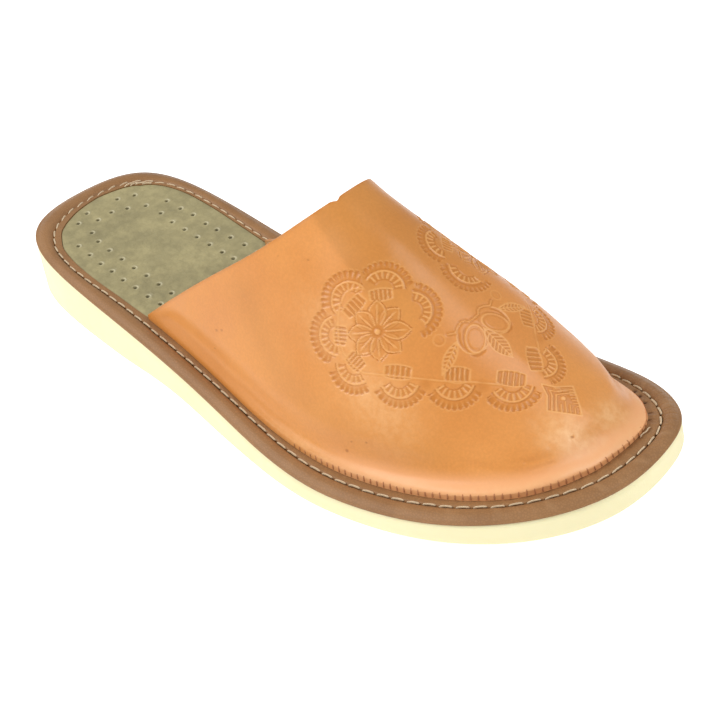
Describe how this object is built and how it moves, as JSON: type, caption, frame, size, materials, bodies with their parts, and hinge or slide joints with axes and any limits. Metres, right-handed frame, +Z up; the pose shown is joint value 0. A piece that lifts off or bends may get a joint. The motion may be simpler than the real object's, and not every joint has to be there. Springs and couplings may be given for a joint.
{
  "type": "leather mule slipper",
  "caption": "Closed-toe, backless leather slipper for the right foot: embossed vamp, rolled leather binding, perforated footbed and a low foam wedge sole.",
  "frame": {"origin": "middle of the bounding box in plan, at the floor that the sole stands on", "axes": "+X from the heel to the toe, +Y to the inner side of the foot, +Z up"},
  "size_m": [0.2926, 0.1114, 0.0861],
  "materials": {
    "cream_foam": "matt closed-cell foam with fine, level side faces",
    "brown_leather": "fine-grained, waxed, semi-matt",
    "olive_leather": "pebbled, mottled, matt, with punched air holes",
    "tan_leather": "smooth vegetable-tanned grain, semi-gloss, embossed"
  },
  "bodies": {
    "root": {"outsole": "cream_foam", "binding": "brown_leather", "footbed": "olive_leather", "upper": "tan_leather"}
  },
  "joints": []
}
